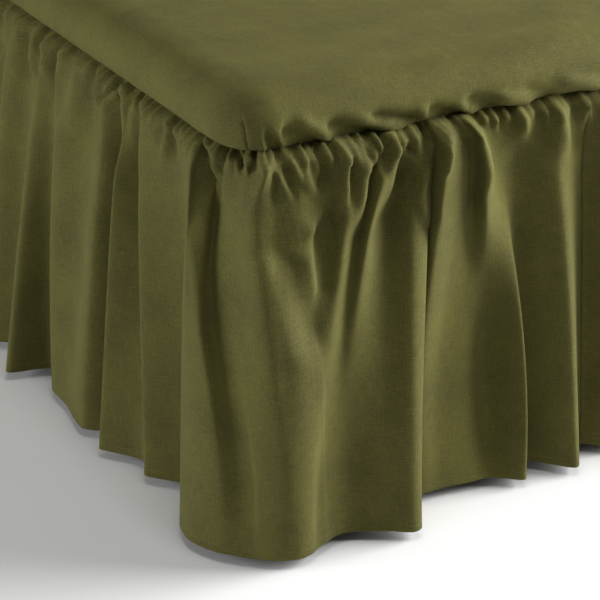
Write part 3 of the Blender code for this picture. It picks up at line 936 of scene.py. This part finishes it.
# Drag wrinkles, in millimetres on the flat cloth: where each starts and ends, from the
# side edge and from the foot edge, how far its middle bows, its width and its height.
DRAG_COLUMNS = (
    "start_side", "start_foot", "end_side", "end_foot", "bow", "width", "height",
)
TOP_DRAGS = (
    (60, 10, 74, 6, 0, 7, 3),
    (72, 18, 108, 2, 1, 9, -19),
    (88, 27, 126, 8, 0, 6, 3),
    (112, 24, 158, 2, -1, 9, -19),
    (134, 36, 184, 7, -3, 7, 6),
    (172, 22, 226, 2, -2, 8, -19),
    (200, 30, 274, 9, -3, 7, 4),
    (228, 24, 294, 9, 0, 5, -15),
    (240, 12, 292, 6, 0, 6, 5),
    (288, 22, 328, 5, 0, 6, 6),
    (302, 18, 352, 3, -1, 7, -18),
    (338, 17, 378, 4, 0, 6, 6),
    (356, 21, 400, 5, 0, 7, -18),
    (392, 20, 446, 5, 0, 7, 6),
    (430, 24, 476, 6, 0, 6, -4),
    (478, 26, 544, 5, 2, 7, 6),
    (535, 25, 586, 6, 0, 6, -4),
    (598, 26, 664, 5, -2, 8, 6),
    (668, 24, 724, 5, 0, 6, -4),
    (735, 28, 806, 5, 2, 8, 6),
    (818, 24, 866, 5, 0, 6, -4),
    (30, 60, 12, 170, 0, 9, 2),
    (44, 41, 21, 3, 0, 1.6, -2.4),
    (50, 43, 44, 35, 0, 2.4, 2.4),
)
LEAST_LIFT = -0.004  # no drag goes further in than this
DRAG_FADE = 0.35  # the share of its length in which a drag rises, and dies away
DRAG_OVERRUN = 0.15  # the share by which it starts early and ends late
# Wide, low swellings and hollows of the padding, in the same columns.
SWELLS = (
    (110, 110, 330, 180, 0, 34, 2.0),
    (60, 260, 230, 420, 0, 40, 2.0),
    (250, 90, 520, 150, 0, 30, -2.0),
    (420, 60, 760, 240, 0, 45, 2.2),
    (200, 520, 700, 640, 0, 60, 2.0),
    (150, 900, 800, 820, 0, 70, -2.0),
    (300, 1300, 780, 1180, 0, 60, 2.0),
)


def cloth_lines(half, inner_step, near_reach):
    """Places of the top's grid lines, from the side at minus to the side at plus."""
    end = half + SECTION_RUN
    near = np.arange(-end, -half + near_reach, NEAR_STEP)
    far = end - np.arange(0, SECTION_RUN + FAR_REACH, FAR_STEP)[::-1]
    steps = math.ceil((far[0] - near[-1]) / inner_step)
    inner = np.linspace(near[-1], far[0], steps + 1)
    return np.concatenate([near, inner[1:-1], far])


def sharp_section(run):
    """Out and up along the top's edge, as round as the topper, past its flat."""
    upper = np.clip((run - FLAT_RIM) / UPPER_R, 0, math.pi / 2)
    side = np.clip(run - FLAT_RIM - UPPER_ARC, 0, SIDE_HIGH)
    lower = np.clip((run - FLAT_RIM - UPPER_ARC - SIDE_HIGH) / LOWER_R, 0, TUCK_TURN)
    out = np.minimum(run, FLAT_RIM) + UPPER_R * np.sin(upper) - LOWER_R * (1 - np.cos(lower))
    up = UPPER_Z + UPPER_R * np.cos(upper) - side - LOWER_R * np.sin(lower)
    return np.stack([out, up])


def section(run):
    """Out and up along the top's edge, rounded further by its padding, and the normal."""
    places = np.arange(-EDGE_MARGIN, SECTION_RUN + EDGE_MARGIN, EDGE_STEP)
    sharp = sharp_section(np.clip(places, 0, SECTION_RUN))
    sharp[0] += np.minimum(places, 0)
    reach = np.arange(-EDGE_REACH, EDGE_REACH + EDGE_STEP / 2, EDGE_STEP)
    weight = np.exp(-0.5 * (reach / EDGE_SOFTNESS) ** 2)
    weight /= weight.sum()
    soft = np.stack([np.convolve(line, weight, mode="same") for line in sharp])
    above_seam = ease((SECTION_RUN - places) / SOFT_FROM)
    softened = above_seam * ease(places / SOFT_START)
    line = sharp + (soft - sharp) * softened
    line[1] += PAD_LIFT * above_seam
    way = np.gradient(line, EDGE_STEP, axis=1)
    way /= np.linalg.norm(way, axis=0)
    parts = (line[0], line[1], -way[1], way[0])
    return [np.interp(run, places, part) for part in parts]


def top_surface():
    """The top's points, and where each lies across and along the flat cloth."""
    across = cloth_lines(CORNER_X, INNER_STEPS[0], NEAR_REACHES[0])
    along = cloth_lines(CORNER_Y, INNER_STEPS[1], NEAR_REACHES[1])
    x, y = np.meshgrid(across, along)
    past_x, past_y = np.abs(x) - CORNER_X, np.abs(y) - CORNER_Y
    over_x, over_y = np.maximum(past_x, 0), np.maximum(past_y, 0)
    run = np.maximum(over_x, over_y)
    share = np.minimum(over_x, over_y) / np.maximum(run, LEAST_RUN)
    # The way out turns from sideways, 0, to endways, a quarter turn, round each corner.
    turn = np.where(over_x >= over_y, share, 2 - share) * math.pi / 4
    way_x = np.where(run > 0, np.cos(turn), 0.0) * np.sign(x)
    way_y = np.where(run > 0, np.sin(turn), 0.0) * np.sign(y)
    out, up, normal_out, normal_up = section(run)
    base_x = np.clip(x, -CORNER_X, CORNER_X)
    base_y = np.clip(y, -CORNER_Y, CORNER_Y)
    lift = top_relief(x, y, run, turn)
    crown_x = 1 - (base_x / CORNER_X) ** CROWN_POWERS[0]
    crown_y = 1 - (base_y / CORNER_Y) ** CROWN_POWERS[1]
    up = up + CROWN * np.maximum(crown_x * crown_y, 0) ** CROWN_EASE
    reach = out + lift * normal_out
    place_x, place_y = base_x + way_x * reach, base_y + way_y * reach
    return np.dstack([place_x, place_y, up + lift * normal_up]), x, y


def add_drag(relief, from_side, from_foot, row):
    """Adds one drag wrinkle's height to the relief of the flat cloth."""
    drag = dict(zip(DRAG_COLUMNS, (value * MM for value in row)))
    start = np.array([drag["start_side"], drag["start_foot"]])
    end = np.array([drag["end_side"], drag["end_foot"]])
    along = end - start
    length = np.linalg.norm(along)
    along /= length
    across = np.array([-along[1], along[0]])
    past_side, past_foot = from_side - start[0], from_foot - start[1]
    share = (past_side * along[0] + past_foot * along[1]) / length
    bowed = drag["bow"] * 4 * share * (1 - share)
    away = past_side * across[0] + past_foot * across[1] - bowed
    strength = ease((share + DRAG_OVERRUN) / DRAG_FADE)
    strength *= ease((1 + DRAG_OVERRUN - share) / DRAG_FADE)
    relief += drag["height"] * strength * np.exp(-((away / drag["width"]) ** 2))


def top_relief(x, y, run, turn):
    """How far the top's cloth stands off its smooth form."""
    height = SECTION_RUN - run
    puff = SIDE_PUFF + (FOOT_PUFF - SIDE_PUFF) * ease(turn / (math.pi / 2))
    relief = puff * ease(height / PUFF_RISE) * ease((run - PUFF_FROM) / PUFF_RUN)
    from_side = x + CORNER_X + SECTION_RUN
    from_foot = y + CORNER_Y + SECTION_RUN
    for row in TOP_DRAGS + SWELLS:
        add_drag(relief, from_side, from_foot, row)
    return np.maximum(relief, LEAST_LIFT) * ease(height / SEAM_FADE)


def make_top(cotton):
    """The fitted top as a closed cloth."""
    points, x, y = top_surface()
    top = sheet_mesh("fitted_top", points, x, y)
    top.data.materials.append(cotton)
    top.data.flip_normals()
    thicken(top)
    return top


# --- Light, floor and camera ----------------------------------------------------------
VIEW_TURN = math.radians(-28.6)
VIEW_DOWN = math.radians(24.1)
CAMERA_PLACE = Vector((-1.7284, -3.4901, 1.5408))
LENS = 162  # in millimetres, as the sensor's width is
SENSOR_WIDTH = 36
FLOOR_SIZE = 14
ROOM_LIGHT = 0.10
LIGHT_DISTANCE = 3.2
LIT_HEIGHT = 0.3  # the lights aim at the near corner at this height
# Each light's turn from the camera's right towards the far side and its rise, in
# degrees, its size and its power.
LIGHTS = (
    ("key_light", 13, 21, 2.1, 207),
    ("front_light", -60, 80, 1.4, 26),
    ("left_light", 186, 5, 1.6, 87),
)


def aim(thing, way):
    """Turns a camera or a light to look along the way."""
    thing.rotation_euler = way.to_track_quat("-Z", "Y").to_euler()


def direction(turn, rise):
    """The way that lies this far round from +X and this far up, in radians."""
    level = math.cos(rise)
    return Vector((math.cos(turn) * level, math.sin(turn) * level, math.sin(rise)))


def make_camera():
    """The camera, which looks down on the near foot corner from past it."""
    camera = bpy.data.cameras.new("camera")
    camera.lens = LENS
    camera.sensor_width = SENSOR_WIDTH
    thing = bpy.data.objects.new("camera", camera)
    thing.location = CAMERA_PLACE
    aim(thing, direction(VIEW_TURN + math.pi / 2, -VIEW_DOWN))
    bpy.context.scene.collection.objects.link(thing)
    bpy.context.scene.camera = thing


def make_floor():
    """A plain pale floor, painted matt."""
    bpy.ops.mesh.primitive_plane_add(size=FLOOR_SIZE)
    floor = bpy.context.object
    floor.name = "floor"
    material, _, shader = new_material("floor_paint", 0.9, 0.1)
    shader.inputs["Base Color"].default_value = srgb("#f2f2f2")
    floor.data.materials.append(material)


def make_lights():
    """Three soft lights round the near foot corner, and the light of a pale room."""
    corner = Vector((-SEAM_HALF_WIDTH, -SEAM_HALF_LENGTH, LIT_HEIGHT))
    for name, turn, rise, size, power in LIGHTS:
        way = direction(VIEW_TURN + math.radians(turn), math.radians(rise))
        light = bpy.data.lights.new(name, "AREA")
        light.size = size
        light.energy = power
        thing = bpy.data.objects.new(name, light)
        thing.location = corner + way * LIGHT_DISTANCE
        aim(thing, corner - thing.location)
        bpy.context.scene.collection.objects.link(thing)
    world = bpy.data.worlds.new("soft_room")
    world.use_nodes = True
    background = world.node_tree.nodes["Background"]
    background.inputs["Color"].default_value = (1, 1, 1, 1)
    background.inputs["Strength"].default_value = ROOM_LIGHT
    bpy.context.scene.world = world


def main():
    """Makes and finishes every piece, then the stage."""
    cotton = olive_cotton()
    thread = sewing_thread()
    for node, finish in (("topper", topper_ticking()), ("bed_base", base_upholstery())):
        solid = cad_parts[node]
        solid.data.materials.clear()
        solid.data.materials.append(finish)

    widths, points = make_skirt(cotton)
    stitches = make_hem_stitches(points, thread)
    top = make_top(cotton)

    for width, run in widths:
        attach(width, "root")
        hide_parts("skirt")
    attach(stitches, "root")
    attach(top, "root")
    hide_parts("top_cover")
    make_camera()
    make_floor()
    make_lights()
    bpy.context.scene.view_settings.view_transform = "Standard"


main()
